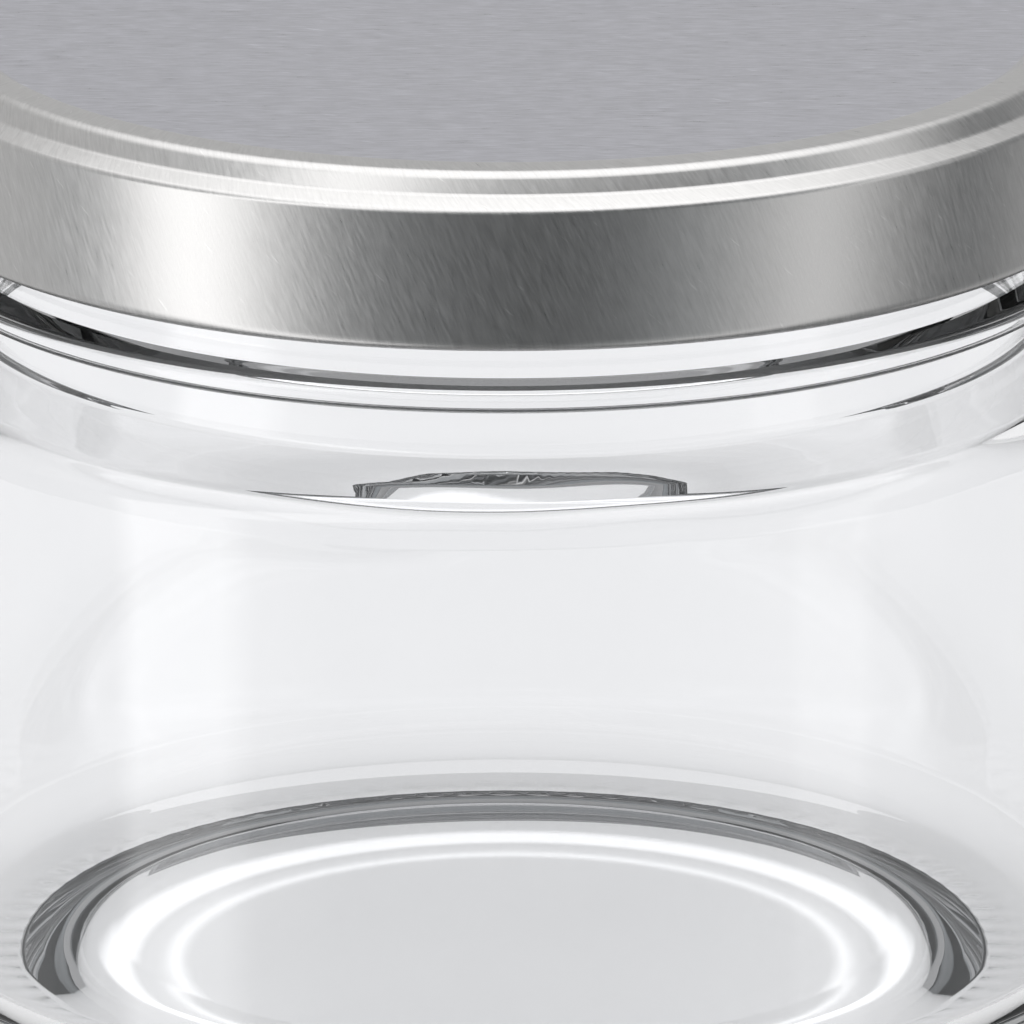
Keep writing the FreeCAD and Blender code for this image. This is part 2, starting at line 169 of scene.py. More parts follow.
class LidSizes(bpy.types.PropertyGroup):
    """Sizes and finish of the lid."""

    tinplate: length("Tinplate", "Sheet thickness", 0.22)
    bead_clearance: length("Bead clearance", "Room between the bead and the bottom of the lid", 2.19)
    skirt_room: length("Skirt room", "How far the skirt stands off the finish", 2.9)
    panel_gap: length("Panel gap", "Room between the rim and the flat panel", 0.2)
    panel_step: length("Panel step", "Width of the step from panel to crest", 1.0)
    panel_round: length("Panel round", "Rounds at both ends of that step", 0.7)
    crest_inset: length("Crest inset", "How far the crest starts inside the finish", 1.0)
    crest_width: length("Crest width", "Width of the crest", 2.1)
    crest_round: length("Crest round", "Outside round of the crest", 0.7)
    crest_wall: length("Crest wall", "Width of the steep wall outside the crest", 0.6)
    crest_drop: length("Crest drop", "Height of that wall", 1.2)
    ledge_fall: length("Ledge fall", "How much the ledge drops to the skirt", 0.5)
    ledge_round: length("Ledge round", "Rounds at both ends of the ledge", 0.4)
    curl_radius: length("Curl radius", "Outside radius of the rolled edge", 0.8)
    curl_opening: FloatProperty(
        name="Curl opening", description="How far the rolled edge stays short of a full turn",
        default=math.radians(75), subtype="ANGLE",
    )
    lug_clearance: length("Lug clearance", "Room between a lug's tip and the finish", 0.3)
    lug_thickness: length("Lug thickness", "Height of a lug", 0.7)
    lug_round: length("Lug round", "Rounds at the tip of a lug", 0.3)
    lug_angle: FloatProperty(
        name="Lug angle", description="Part of the circle that a lug takes",
        default=math.radians(16), subtype="ANGLE",
    )
    lug_count: IntProperty(name="Lug count", description="Lugs round the lid", default=4)

    steps: IntProperty(name="Steps", description="Facets round the lid", default=256, min=16)
    panel_metal: colour("Panel metal", "Colour of the brushed panel", (0.49, 0.49, 0.53, 1.0))
    metal: colour("Metal", "Colour of the brushed side", (0.51, 0.505, 0.50, 1.0))
    roughness: share("Roughness", "Roughness of the brushed metal", 0.33)
    lacquer: colour("Lacquer", "Colour of the lacquer inside the lid", (0.60, 0.61, 0.61, 1.0))


class SealSizes(bpy.types.PropertyGroup):
    """Sizes and colour of the sealing compound."""

    thickness: length("Thickness", "Room between rim and crest", 0.9)
    clearance: length("Clearance", "Free play of the compound", 0.05)
    overlap: length("Overlap", "How far it reaches in from the outside of the finish", 1.6)
    outer_round: length("Outer round", "Outside top round", 0.4)
    tone: colour("Compound colour", "Colour of the compound", (0.80, 0.79, 0.74, 1.0))


class StudioSizes(bpy.types.PropertyGroup):
    """Camera, floor and lights."""

    distance: length("Camera distance", "Camera to the point it looks at", 1150.0)
    look_height: length("Look height", "Height on the jar's axis that the camera turns about", 27.0)
    elevation: FloatProperty(
        name="Elevation", description="How high the camera stands",
        default=math.radians(17.0), subtype="ANGLE",
    )
    lens: FloatProperty(name="Lens", description="Focal length in millimetres", default=719.5)
    shift_right: FloatProperty(
        name="Shift right", description="Sideways shift of the view", default=0.0073
    )
    shift_up: FloatProperty(
        name="Shift up", description="Upward shift of the view", default=0.0215
    )
    floor_tone: colour("Floor tone", "Colour of the floor", (0.90, 0.90, 0.90, 1.0))
    floor_whiteness: share("Floor whiteness", "How far the floor shows as the plain backdrop", 0.9)
    # Painted shade: how much darker the floor shows to light mirrored more than once in the glass.
    mirrored_floor: share(
        "Mirrored floor", "How lit the floor is for light mirrored over and over in the glass", 0.35
    )
    side_cards: share("Side cards", "How lit the dark cards beside the jar are", 0.3)
    light_lean: FloatProperty(
        name="Light lean", description="How far the soft boxes lean in", default=0.74
    )
    cool_tone: colour("Cool tone", "Tone of the unlit parts of the studio", (0.96, 1.01, 1.04, 1.0))
    soft_box: FloatProperty(
        name="Soft box", description="Strength of the brightest soft box", default=2.6
    )


# ---------------------------------------------------------------- turned shapes


def bent_wire(bm, corners, closed=False, segments=7):
    """A wire through the corners, each a radius, a height and the size of its round."""
    places = [Vector((radius, 0, height)) for radius, height, _ in corners]
    verts = [bm.verts.new(place) for place in places]
    pairs = list(zip(verts, verts[1:]))
    if closed:
        pairs.append((verts[-1], verts[0]))
    for pair in pairs:
        bm.edges.new(pair)
    count = len(corners)
    for index, (_, _, size) in enumerate(corners):
        if not size:
            continue
        place = places[index]
        turn = (place - places[index - 1]).angle(places[(index + 1) % count] - place)
        bmesh.ops.bevel(
            bm, geom=[verts[index]], offset=size * math.tan(turn / 2), offset_type="OFFSET",
            affect="VERTICES", segments=segments, profile=0.5, material=-1,
        )


def divide_long_edges(bm, longest, inside=None):
    """Cuts the wire's long edges evenly, so that none is longer than the given length."""
    for edge in list(bm.edges):
        if inside and not all(inside(vert.co) for vert in edge.verts):
            continue
        cuts = math.ceil(edge.calc_length() / longest) - 1
        if cuts > 0:
            bmesh.ops.subdivide_edges(bm, edges=[edge], cuts=cuts)


def spin_section(bm, steps, angle=TURN):
    """Turns all that is in the mesh about the jar's axis and closes it."""
    bmesh.ops.spin(
        bm, geom=bm.verts[:] + bm.edges[:] + bm.faces[:],
        cent=(0, 0, 0), axis=(0, 0, 1), dvec=(0, 0, 0), angle=angle, space=Matrix(), steps=steps,
        use_merge=math.isclose(angle, TURN), use_normal_flip=False, use_duplicate=False,
    )
    bmesh.ops.remove_doubles(bm, verts=bm.verts[:], dist=MERGE)
    bmesh.ops.recalc_face_normals(bm, faces=bm.faces[:])


def smooth_below(bm, angle=math.radians(32)):
    """Shades the mesh smooth but for edges sharper than the angle."""
    for face in bm.faces:
        face.smooth = True
    for edge in bm.edges:
        edge.smooth = len(edge.link_faces) == 2 and edge.calc_face_angle(0.0) < angle


def wrap_uv(bm, reference_radius):
    """A UV map in metres: U runs round the axis, and V runs out along the radius and down the side."""
    layer = bm.loops.layers.uv.new("wrap")
    for face in bm.faces:
        middle = math.atan2(*face.calc_center_median().yx)
        for loop in face.loops:
            place = loop.vert.co
            turn = math.atan2(place.y, place.x) if place.xy.length > MM else middle
            turn += TURN * round((middle - turn) / TURN)
            loop[layer].uv = (turn * reference_radius, place.xy.length - place.z)


def add_piece(name, bm, material, slot, *nodes):
    """Puts the mesh in the scene as a piece that rides with the jar and stands for the nodes."""
    mesh = bpy.data.meshes.new(name)
    bm.to_mesh(mesh)
    bm.free()
    piece = bpy.data.objects.new(name, mesh)
    bpy.context.scene.collection.objects.link(piece)
    mesh.materials.append(material)
    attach(piece, BODY)
    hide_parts(*nodes)
    return piece


# ---------------------------------------------------------------- materials


def new_material(name):
    """An empty node material, with its tree."""
    material = bpy.data.materials.new(name)
    material.use_nodes = True
    material.node_tree.nodes.clear()
    return material, material.node_tree


def add_node(tree, kind, inputs=None, **settings):
    """A node with its settings; each input, by name or number, takes a socket or a plain value."""
    node = tree.nodes.new(kind)
    for name, value in settings.items():
        setattr(node, name, value)
    for name, value in (inputs or {}).items():
        if isinstance(value, bpy.types.NodeSocket):
            tree.links.new(value, node.inputs[name])
        else:
            node.inputs[name].default_value = value
    return node


def calculate(tree, operation, *values):
    """One step of arithmetic on sockets and plain numbers."""
    step = add_node(tree, "ShaderNodeMath", dict(enumerate(values)), operation=operation)
    return step.outputs["Value"]


def scale_colour(tree, tone, factor):
    """A colour made lighter or darker by a factor."""
    scaled = add_node(tree, "ShaderNodeVectorMath", {0: tone, "Scale": factor}, operation="SCALE")
    return scaled.outputs["Vector"]


def spread_noise(tree, value, low, high):
    """Stretches the part of a noise that matters over the range from low to high."""
    stretched = add_node(tree, "ShaderNodeMapRange", {
        "Value": value, "From Min": NOISE_LOW, "From Max": NOISE_HIGH, "To Min": low, "To Max": high,
    })
    return stretched.outputs["Result"]


def object_place(tree):
    return add_node(tree, "ShaderNodeTexCoord").outputs["Object"]


def show(tree, socket):
    """Makes the shader the material's surface."""
    add_node(tree, "ShaderNodeOutputMaterial", {"Surface": socket})


def new_group(name, inputs, outputs):
    """An empty node group: a vector and number inputs with their defaults, and number outputs."""
    tree = bpy.data.node_groups.new(name, "ShaderNodeTree")
    new_socket = tree.interface.new_socket
    new_socket(name="Vector", in_out="INPUT", socket_type="NodeSocketVector")
    for label, default in inputs:
        socket = new_socket(name=label, in_out="INPUT", socket_type="NodeSocketFloat")
        socket.default_value = default
    for label in outputs:
        new_socket(name=label, in_out="OUTPUT", socket_type="NodeSocketFloat")
    return tree, add_node(tree, "NodeGroupInput").outputs, add_node(tree, "NodeGroupOutput").inputs


def brushing_group():
    """Brushed metal: streaks along one way of the coordinates, and sparse scratches across them."""
    if "Brushing" in bpy.data.node_groups:
        return bpy.data.node_groups["Brushing"]
    tree, given, result = new_group(
        "Brushing", [("Across", 3000.0), ("Along", 200.0), ("Lean", 0.0)], ["Streaks", "Scratches"]
    )
    stretch = add_node(tree, "ShaderNodeCombineXYZ", {
        "X": given["Along"], "Y": given["Across"], "Z": given["Along"],
    })

    def turned_noise(vector, angle, **noise_values):
        turned = add_node(
            tree, "ShaderNodeVectorRotate", {"Vector": vector, "Angle": angle}, rotation_type="Z_AXIS"
        )
        stretched = add_node(
            tree, "ShaderNodeVectorMath",
            {0: turned.outputs["Vector"], 1: stretch.outputs["Vector"]}, operation="MULTIPLY",
        )
        pattern = add_node(
            tree, "ShaderNodeTexNoise", {"Vector": stretched.outputs["Vector"], **noise_values}
        )
        return turned.outputs["Vector"], pattern.outputs["Fac"]

    leaning, streaks = turned_noise(
        given["Vector"], given["Lean"], Scale=1.0, Detail=6.0, Roughness=0.72
    )
    tree.links.new(streaks, result["Streaks"])
    _, marks = turned_noise(leaning, 0.42, Scale=0.8, Detail=2.0)
    sparse = add_node(
        tree, "ShaderNodeMapRange",
        {"Value": marks, "From Min": 0.66, "From Max": 0.80}, interpolation_type="SMOOTHSTEP",
    )
    tree.links.new(sparse.outputs["Result"], result["Scratches"])
    return tree


def mottling_group():
    """Soft clouds and a fine grain, as two masks."""
    if "Mottling" in bpy.data.node_groups:
        return bpy.data.node_groups["Mottling"]
    tree, given, result = new_group(
        "Mottling", [("Cloud Scale", 120.0), ("Grain Scale", 1800.0)], ["Clouds", "Grain"]
    )
    for scale, detail, mask in (("Cloud Scale", 3.0, "Clouds"), ("Grain Scale", 5.0, "Grain")):
        pattern = add_node(tree, "ShaderNodeTexNoise", {
            "Vector": given["Vector"], "Scale": given[scale], "Detail": detail,
        })
        tree.links.new(pattern.outputs["Fac"], result[mask])
    return tree


def mottling_node(tree, cloud_scale):
    """The mottling on the object's own place."""
    return add_node(
        tree, "ShaderNodeGroup", {"Vector": object_place(tree), "Cloud Scale": cloud_scale},
        node_tree=mottling_group(),
    )


def tinplate_material(name, lid, metal, place, across, along, lean, depth, contrast):
    """Silver tinplate, brushed along one way of the object's place or of the wrap UV map."""
    material, tree = new_material(name)
    if place == "UV":
        source = add_node(tree, "ShaderNodeUVMap", uv_map="wrap").outputs["UV"]
    else:
        source = object_place(tree)
    brushing = add_node(tree, "ShaderNodeGroup", node_tree=brushing_group())
    for socket, value in (("Across", across), ("Along", along), ("Lean", lean)):
        brushing.inputs[socket].default_value = value
    tree.links.new(source, brushing.inputs["Vector"])
    streaks, scratches = brushing.outputs["Streaks"], brushing.outputs["Scratches"]

    tone = spread_noise(tree, streaks, 1.0 - contrast, 1.0 + contrast)
    brighter = calculate(tree, "MULTIPLY_ADD", scratches, 0.25, tone)
    bump = add_node(tree, "ShaderNodeBump", {
        "Strength": 1.0, "Distance": depth, "Height": calculate(tree, "ADD", streaks, scratches),
    })
    shader = add_node(tree, "ShaderNodeBsdfPrincipled", {
        "Metallic": 1.0,
        "Base Color": scale_colour(tree, metal[:3], brighter),
        "Roughness": spread_noise(tree, streaks, lid.roughness - 0.06, lid.roughness + 0.06),
        "Normal": bump.outputs["Normal"],
    })
    show(tree, shader.outputs["BSDF"])
    return material


def glass_material(sizes):
    """Clear colourless glass with a faint cool tint that drifts a little through it."""
    material, tree = new_material("clear_glass")
    mottling = mottling_node(tree, 60.0)
    drift = spread_noise(tree, mottling.outputs["Clouds"], 0.992, 1.008)
    shader = add_node(tree, "ShaderNodeBsdfPrincipled", {
        "Base Color": scale_colour(tree, sizes.tint[:3], drift),
        "Roughness": sizes.roughness,
        "IOR": GLASS_IOR,
        "Transmission Weight": 1.0,
    })
    show(tree, shader.outputs["BSDF"])
    return material


def mottled_material(name, tone, spread, roughness, cloud_scale, grain_depth):
    """A pale coating or compound: the tone drifts, and a fine grain stands out under a low light."""
    material, tree = new_material(name)
    mottling = mottling_node(tree, cloud_scale)
    drift = spread_noise(tree, mottling.outputs["Clouds"], 1.0 - spread, 1.0 + spread)
    bump = add_node(tree, "ShaderNodeBump", {
        "Distance": grain_depth, "Height": mottling.outputs["Grain"],
    })
    shader = add_node(tree, "ShaderNodeBsdfPrincipled", {
        "Base Color": scale_colour(tree, tone[:3], drift),
        "Roughness": calculate(tree, "MULTIPLY", drift, roughness),
        "Normal": bump.outputs["Normal"],
    })
    show(tree, shader.outputs["BSDF"])
    return material


def lacquer_material(lid):
    """The pale food lacquer that coats the inside of the lid."""
    return mottled_material("inside_lacquer", lid.lacquer, 0.04, 0.35, 140.0, 0.01 * MM)


def compound_material(sizes):
    """The soft ring of sealing compound."""
    return mottled_material("sealing_compound", sizes.tone, 0.05, 0.55, 300.0, 0.03 * MM)


# ---------------------------------------------------------------- the glass

# Longest edges of the section where it is threaded, rippled and plain.
THREADED_EDGE, RIPPLED_EDGE, PLAIN_EDGE = 0.28 * MM, 0.4 * MM, 1.6 * MM
# A thread thins out over an eighth of its run at each end.
THREAD_ENDS = 8
# The grip marks lie below this height, and the underside stays smooth up to this much over the hollow.
KNURLED_HEIGHT = 0.6 * MM
UNDERSIDE_ROOM = 1.2 * MM
# The wall wanders in and out outside this radius, and the floor up and down inside it.
WALL_FROM = 20 * MM
WANDERING = (45, 45, 22)
# The ripple behind the shoulder: how often it comes round the jar and up its side, and its reach.
RIPPLES_ROUND, RIPPLES_UP = 4.0, 750
RIPPLED_BELOW, RIPPLED_ABOVE = 8 * MM, 2 * MM


def glass_heights(glass):
    """Heights that the glass and the lid share."""
    solid_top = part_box("jar")[1][2]
    bead_top = solid_top - glass.bead_depth
    shoulder_top = bead_top - glass.bead_height - glass.neck_height
    return solid_top, bead_top, shoulder_top


def glass_section(glass):
    """Corners of the glass wall's section, from the middle of the base round to the inside floor."""
    rim, bead_top, shoulder_top = glass_heights(glass)
    mouth = glass.finish_radius - glass.finish_wall
    neck = glass.finish_radius - glass.neck_inset
    bead = glass.finish_radius + glass.bead_reach
    body = glass.finish_radius + glass.shoulder_reach
    inside = body - glass.body_wall
    standing_inner = body - glass.heel_round - glass.standing_width
    bead_foot = bead_top - glass.bead_height
    floor = glass.hollow_rise + glass.base_thickness
    return [
        (0.0, glass.hollow_rise, 0.0),
        (standing_inner - glass.hollow_run, glass.hollow_rise, glass.hollow_round),
        (standing_inner, 0.0, glass.standing_round),
        (body, 0.0, glass.heel_round),
        (body, shoulder_top - glass.shoulder_fall, glass.shoulder_round),
        (neck, shoulder_top, glass.neck_round),
        (neck, bead_foot, 0.0),
        (bead, bead_foot + glass.bead_slope, glass.bead_round),
        (bead, bead_top - glass.bead_slope, glass.bead_round),
        (glass.finish_radius, bead_top, 0.0),
        (glass.finish_radius, rim, glass.rim_round),
        (mouth, rim, glass.mouth_round),
        (mouth, shoulder_top, glass.inner_shoulder_round),
        (inside, shoulder_top - glass.inner_shoulder_fall, glass.inner_foot_round),
        (inside, floor - glass.floor_fall, glass.corner_round),
        (glass.floor_radius, floor, glass.floor_round),
        (0.0, floor, 0.0),
    ]


def bump_shape(value):
    """A smooth hump: one at zero, nothing from one outward."""
    return (1 - value * value) ** 2 if abs(value) < 1 else 0.0


def raise_threads(bm, glass):
    """Pushes the finish out along the threads, which run down to the right and thin at their ends."""
    rim, bead_top, _ = glass_heights(glass)
    start_turn = TURN / glass.thread_starts
    for vert in bm.verts:
        radius = vert.co.xy.length
        on_finish = abs(radius - glass.finish_radius) < TOUCH
        if not (on_finish and bead_top < vert.co.z < rim - glass.rim_round):
            continue
        turn = math.atan2(vert.co.y, vert.co.x)
        lift = 0.0
        for start in range(glass.thread_starts):
            run = (turn - start * start_turn) % TURN / glass.thread_sweep
            if run > 1:
                continue
            middle = rim - glass.thread_depth - glass.thread_drop * run
            end_fade = min(1.0, THREAD_ENDS * run, THREAD_ENDS * (1 - run))
            off = (vert.co.z - middle) / (glass.thread_width / 2)
            lift = max(lift, glass.thread_reach * end_fade * bump_shape(off))
        vert.co.xy *= (radius + lift) / radius


def press_knurls(bm, glass):
    """Presses short radial grip marks into the standing ring."""
    body = glass.finish_radius + glass.shoulder_reach
    middle = body - glass.heel_round - glass.standing_width + glass.knurl_length / 2
    reach = glass.knurl_length / 2
    for vert in bm.verts:
        radius = vert.co.xy.length
        if vert.co.z > KNURLED_HEIGHT or abs(radius - middle) > reach:
            continue
        turn = math.atan2(vert.co.y, vert.co.x)
        wave = 0.5 - 0.5 * math.cos(turn * glass.knurl_count)
        vert.co.z += glass.knurl_depth * wave * bump_shape((radius - middle) / reach)


def wander_wall(bm, glass):
    """Lets the inside wander a little, as blown glass does, and ripple behind the shoulder."""
    inside = glass.finish_radius + glass.shoulder_reach - glass.body_wall
    top = glass_heights(glass)[2] + glass.inner_shoulder_round
    foot = top - 2 * glass.inner_shoulder_fall
    middle = (top + foot) / 2
    for vert in bm.verts:
        radius = vert.co.xy.length
        if radius > inside + TOUCH or vert.co.z < glass.hollow_rise + UNDERSIDE_ROOM:
            continue
        drift = noise.noise(Vector([part * scale for part, scale in zip(vert.co, WANDERING)]))
        if foot < vert.co.z < top:
            place = Vector((*(vert.co.xy / radius * RIPPLES_ROUND), vert.co.z * RIPPLES_UP))
            fade = bump_shape((vert.co.z - middle) / (top - middle))
            drift += glass.shoulder_wave / glass.wall_wave * fade * noise.noise(place)
        if radius > WALL_FROM:
            vert.co.xy *= (radius + glass.wall_wave * drift) / radius
        else:
            vert.co.z += glass.wall_wave * drift * 0.5


def make_glass(glass):
    """The glass in one piece, with its threads, grip marks and waviness."""
    _, bead_top, shoulder_top = glass_heights(glass)
    bm = bmesh.new()
    bent_wire(bm, glass_section(glass))
    finish = glass.finish_radius
    neck = finish - glass.neck_inset

    def threaded(place):
        return place.z > bead_top - TOUCH and abs(place.x - finish) < TOUCH

    def behind_shoulder(place):
        up = place.z - shoulder_top
        return -RIPPLED_BELOW < up < RIPPLED_ABOVE and place.x < neck - TOUCH

    divide_long_edges(bm, THREADED_EDGE, threaded)
    divide_long_edges(bm, RIPPLED_EDGE, behind_shoulder)
    divide_long_edges(bm, PLAIN_EDGE)
    spin_section(bm, glass.steps)
    raise_threads(bm, glass)
    press_knurls(bm, glass)
    wander_wall(bm, glass)
    smooth_below(bm)
    add_piece("glass_jar", bm, glass_material(glass), "glass", "jar")


class JAR_OT_glass(bpy.types.Operator):
    """Model the glass: base, body, shoulder, neck, bead and threaded finish"""

    bl_idname = "jar.glass"
    bl_label = "Glass"

    def execute(self, context):
        make_glass(context.scene.jar_glass)
        return {"FINISHED"}


# ---------------------------------------------------------------- the lid

LID_EDGE = 2.0 * MM
BRUSHED_PANEL, BRUSHED_RIM, LACQUERED = range(3)


def lid_places(glass, lid, seal):
    """Radii and heights of the lid's outside."""
    rim, bead_top, _ = glass_heights(glass)
    crest_inner = glass.finish_radius - lid.crest_inset
    crest_outer = crest_inner + lid.crest_width
    crest_top = rim + seal.thickness + lid.tinplate
    skirt = glass.finish_radius + lid.skirt_room
    curl_height = bead_top + lid.bead_clearance + lid.curl_radius
    return crest_inner, crest_outer, crest_top, skirt, curl_height


def lid_outside(glass, lid, seal):
    """Corners of the lid's outside, from the middle of the panel to the end of the skirt."""
    crest_inner, crest_outer, crest_top, skirt, curl_height = lid_places(glass, lid, seal)
    panel = glass_heights(glass)[0] + lid.panel_gap + lid.tinplate
    ledge = crest_top - lid.crest_drop
    return [
        (0.0, panel, 0.0),
        (crest_inner - lid.panel_step, panel, lid.panel_round),
        (crest_inner, crest_top, lid.panel_round),
        (crest_outer, crest_top, lid.crest_round),
        (crest_outer + lid.crest_wall, ledge, lid.ledge_round),
        (skirt, ledge - lid.ledge_fall, lid.ledge_round),
        (skirt, curl_height, 0.0),
    ]


def add_curl(bm, lid, skirt, curl_height):
    """Rolls the end of the skirt inward, drawn by spinning its last vertex round the curl's middle."""
    middle = Vector((skirt - lid.curl_radius, 0, curl_height))
    end = min(bm.verts, key=lambda vert: (vert.co - Vector((skirt, 0, curl_height))).length)
    bmesh.ops.spin(
        bm, geom=[end], cent=middle, axis=(0, 1, 0), dvec=(0, 0, 0), angle=TURN - lid.curl_opening,
        space=Matrix(), steps=CURL_STEPS, use_merge=False, use_normal_flip=False, use_duplicate=False,
    )


def give_thickness(bm, thickness):
    """Turns the spun skin into sheet metal, growing inward, and returns the faces of its inside."""
    grown = bmesh.ops.solidify(bm, geom=bm.faces[:], thickness=thickness)
    return [item for item in grown["geom"] if isinstance(item, bmesh.types.BMFace)]


def make_lugs(bm, glass, lid, skirt, curl_height):
    """Lugs: short stretches of the rolled edge pressed inward under the thread."""
    tip = glass.finish_radius + lid.lug_clearance
    root = skirt - lid.curl_radius
    for index in range(lid.lug_count):
        lug = bmesh.new()
        bent_wire(lug, [
            (tip, curl_height - lid.lug_thickness, lid.lug_round),
            (root, curl_height - lid.lug_thickness, 0.0),
            (root, curl_height, 0.0),
            (tip, curl_height, lid.lug_round),
        ], closed=True, segments=4)
        bmesh.ops.contextual_create(lug, geom=lug.verts[:] + lug.edges[:])
        turn = Matrix.Rotation(TURN * index / lid.lug_count - lid.lug_angle / 2, 4, "Z")
        bmesh.ops.transform(lug, matrix=turn, verts=lug.verts[:])
        spin_section(lug, LUG_STEPS, lid.lug_angle)
        mesh = bpy.data.meshes.new("lug")
        lug.to_mesh(mesh)
        lug.free()
        bm.from_mesh(mesh)
        bpy.data.meshes.remove(mesh)


def make_lid(glass, lid, seal):
    """The lid's sheet in one piece, with a finish for its panel, its turned rim and its inside."""
    crest_inner, _, _, skirt, curl_height = lid_places(glass, lid, seal)
    bm = bmesh.new()
    bent_wire(bm, lid_outside(glass, lid, seal))
    divide_long_edges(bm, LID_EDGE)
    add_curl(bm, lid, skirt, curl_height)
    spin_section(bm, lid.steps)
    if max(bm.faces, key=lambda face: face.calc_center_median().z).normal.z < 0:
        bmesh.ops.reverse_faces(bm, faces=bm.faces[:])
    panel_edge = crest_inner - lid.panel_step
    for face in bm.faces:
        on_panel = face.calc_center_median().xy.length < panel_edge
        face.material_index = BRUSHED_PANEL if on_panel else BRUSHED_RIM
    for face in give_thickness(bm, lid.tinplate):
        face.material_index = LACQUERED
    make_lugs(bm, glass, lid, skirt, curl_height)
    smooth_below(bm, math.radians(40))
    wrap_uv(bm, skirt)
    panel = tinplate_material(
        "brushed_panel", lid, lid.panel_metal, "OBJECT",
        across=4600.0, along=620.0, lean=0.0, depth=0.004 * MM, contrast=0.21,
    )
    rim = tinplate_material(
        "brushed_rim", lid, lid.metal, "UV",
        across=560.0, along=5600.0, lean=0.4, depth=0.003 * MM, contrast=0.12,
    )
    piece = add_piece("twist_lid", bm, panel, "tinplate", "lid")
    piece.data.materials.append(rim)
    piece.data.materials.append(lacquer_material(lid))


class JAR_OT_lid(bpy.types.Operator):
    """Model the lid: panel, crest, ledge, skirt, rolled edge and lugs"""

    bl_idname = "jar.lid"
    bl_label = "Lid"

    def execute(self, context):
        scene = context.scene
        make_lid(scene.jar_glass, scene.jar_lid, scene.jar_seal)
        return {"FINISHED"}


# ---------------------------------------------------------------- the sealing compound


def make_seal(glass, lid, seal):
    """The ring of compound that fills the lid's channel and thins out under its step."""
    crest_inner, crest_outer, crest_top, _, _ = lid_places(glass, lid, seal)
    bottom = glass_heights(glass)[0] + seal.clearance
    top = crest_top - lid.tinplate - seal.clearance
    inner = glass.finish_radius - seal.overlap
    outer = crest_outer - lid.tinplate - seal.clearance
    shoulder = crest_inner + lid.tinplate
    gradient = (seal.thickness - lid.panel_gap) / lid.panel_step
    bm = bmesh.new()
    bent_wire(bm, [
        (inner, bottom, 0.0),
        (outer, bottom, 0.0),
        (outer, top, seal.outer_round),
        (shoulder, top, 0.0),
        (inner, top - (shoulder - inner) * gradient, 0.0),
    ], closed=True)
    spin_section(bm, SEAL_STEPS)
    smooth_below(bm)
    add_piece("seal_compound", bm, compound_material(seal), "compound", "seal_ring")


class JAR_OT_seal(bpy.types.Operator):
    """Model the ring of sealing compound between rim and lid"""

    bl_idname = "jar.seal"
    bl_label = "Sealing compound"

    def execute(self, context):
        scene = context.scene
        make_seal(scene.jar_glass, scene.jar_lid, scene.jar_seal)
        return {"FINISHED"}


# ---------------------------------------------------------------- the studio

# Light that the lid and the glass mirror: degrees from the camera's side, to the right, and the level.
SURROUND = [
    (-180, 0.66), (-112, 0.74), (-98, 0.72), (-84, 0.44), (-74, 0.6), (-69, 2.6), (-52, 2.6), (-45, 0.9),
    (-30, 0.26), (0, 0.12), (20, 0.14), (36, 0.42), (52, 0.8), (55, 1.4), (66, 1.4), (70, 0.6),
    (88, 0.16), (100, 0.22), (116, 0.6), (180, 0.66),
]
# Painted light on the floor under the base: radius in millimetres, and the level there. It stands in for
# bright rings that light bent by the base would draw.
GATHERED_REACH = 60 * MM
GATHERED = [
    (0, 1.2), (18.2, 1.2), (19.0, 1.8), (19.8, 1.3), (20.9, 1.2), (21.5, 1.9), (22.8, 1.9), (23.7, 1.1),
    (28.0, 0.95), (34.0, 0.95), (40.0, 1.0),
]
GATHERED_SHIFT = (0.3 * MM, 2.1 * MM, 0.0)
# A ramp's colours end at 1, so the floor's levels are halved in it and doubled after it.
FLOOR_LEVELS = 2.0
# Light that the glass bends: degrees up from the level behind the jar and over its top, and the level.
OVERHEAD = [
    (-180, 0.2), (-90, 0.15), (-20, 0.12), (10, 0.07), (30, 0.3), (50, 0.24), (70, 0.3), (90, 0.5),
    (110, 0.4), (130, 0.15), (160, 0.15), (180, 0.2),
]
# How high, as a sine, the plain ceiling starts and is full, and its colour.
CEILING_FROM, CEILING_FULL = math.sin(math.radians(38)), math.sin(math.radians(62))
CEILING = (0.8, 0.8, 0.8, 1.0)
# How far aside, as a sine, the dark cards start and are full.
CARDS_FROM, CARDS_FULL = 0.30, 0.65
# Sizes of the studio in metres.
FLOOR_RADIUS, SHELL_RADIUS = 1.2, 4.0
FLOOR_DROP = 0.02 * MM
CLIP_START, CLIP_END = 0.05, 20.0
SENSOR_WIDTH = 36.0
# Bounces that light may take on its way through the glass.
GLASS_BOUNCES, MIRROR_BOUNCES = 18, 8


def make_camera(studio):
    """A long lens a little above the jar, looking along +Y."""
    data = bpy.data.cameras.new("studio_camera")
    data.lens = studio.lens
    data.sensor_width = SENSOR_WIDTH
    data.shift_x = studio.shift_right
    data.shift_y = studio.shift_up
    data.clip_start = CLIP_START
    data.clip_end = CLIP_END
    camera = bpy.data.objects.new("studio_camera", data)
    back = studio.distance * math.cos(studio.elevation)
    up = studio.distance * math.sin(studio.elevation)
    camera.location = (0, -back, studio.look_height + up)
    camera.rotation_euler = (math.pi / 2 - studio.elevation, 0, 0)
    bpy.context.scene.collection.objects.link(camera)
    bpy.context.scene.camera = camera


def ramp_of(tree, part, stops):
    """A ramp of colours, from pairs of a place from 0 to 1 and a colour."""
    ramp = add_node(tree, "ShaderNodeValToRGB", {"Fac": part})
    elements = ramp.color_ramp.elements
    for index, (spot, tone) in enumerate(stops):
        element = elements[index] if index < 2 else elements.new(spot)
        element.position = spot
        element.color = (*tone, 1.0)
    return ramp.outputs["Color"]


